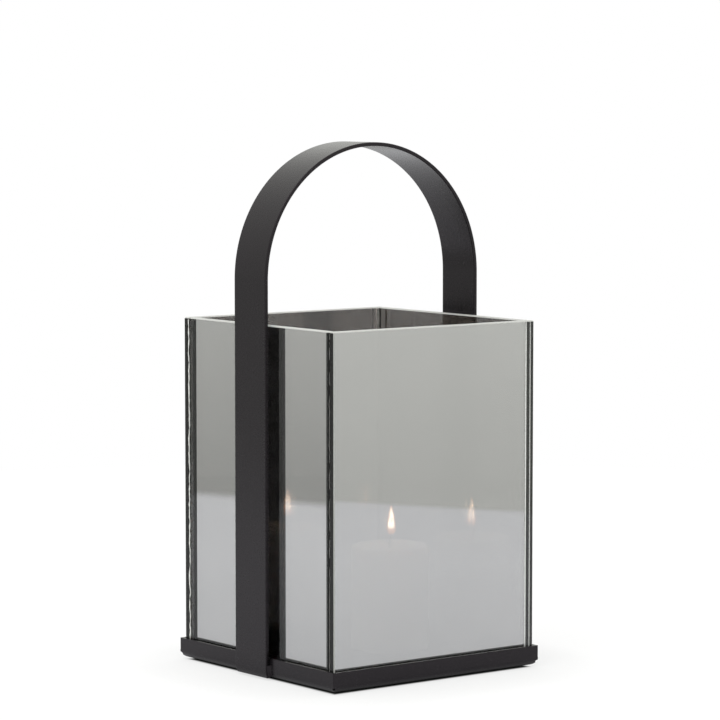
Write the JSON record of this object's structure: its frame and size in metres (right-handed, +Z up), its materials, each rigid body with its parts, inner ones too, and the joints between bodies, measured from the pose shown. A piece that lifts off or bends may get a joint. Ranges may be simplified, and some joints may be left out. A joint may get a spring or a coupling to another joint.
{
  "type": "candle lantern",
  "caption": "Square candle lantern: an open-topped box of half-mirror glass stands in a folded black steel tray, under a strap handle that arches over it, with a pillar candle inside.",
  "frame": {"origin": "middle of the plane that the four pads stand on", "axes": "+Z up, X from one leg of the handle to the other, Y along the width of the handle's strap; the picture shows the -X side at the left and the -Y side at the right"},
  "size_m": [0.2072, 0.2, 0.4077],
  "materials": {
    "coated_steel": "satin black powder coat with a fine grain",
    "half_mirror_glass": "smoked half-mirror float glass, polished, with ground arrises",
    "clear_adhesive": "cured clear bonding adhesive",
    "felt": "dark needle felt",
    "wax": "ivory paraffin wax, satin",
    "wick": "braided cotton, charred"
  },
  "bodies": {
    "base": {"tray": "coated_steel", "tray_corner_welds": "coated_steel", "handle_strap": "coated_steel", "strap_weld_left": "coated_steel", "strap_weld_right": "coated_steel", "foot_pad_front_left": "felt", "foot_pad_front_right": "felt", "foot_pad_rear_left": "felt", "foot_pad_rear_right": "felt"},
    "glass_box": {"pane_front": "half_mirror_glass", "pane_rear": "half_mirror_glass", "pane_left": "half_mirror_glass", "pane_right": "half_mirror_glass", "corner_bead_front_left": "clear_adhesive", "corner_bead_front_right": "clear_adhesive", "corner_bead_rear_left": "clear_adhesive", "corner_bead_rear_right": "clear_adhesive"},
    "candle": {"candle_wax": "wax", "candle_wick": "wick"}
  },
  "joints": [
    {"name": "glass_lift", "type": "slide", "parent": "base", "child": "glass_box", "axis": [0, 0, 1], "range_m": [0, 0.055]},
    {"name": "candle_lift", "type": "slide", "parent": "base", "child": "candle", "axis": [0, 0, 1], "range_m": [0, 0.268]}
  ]
}
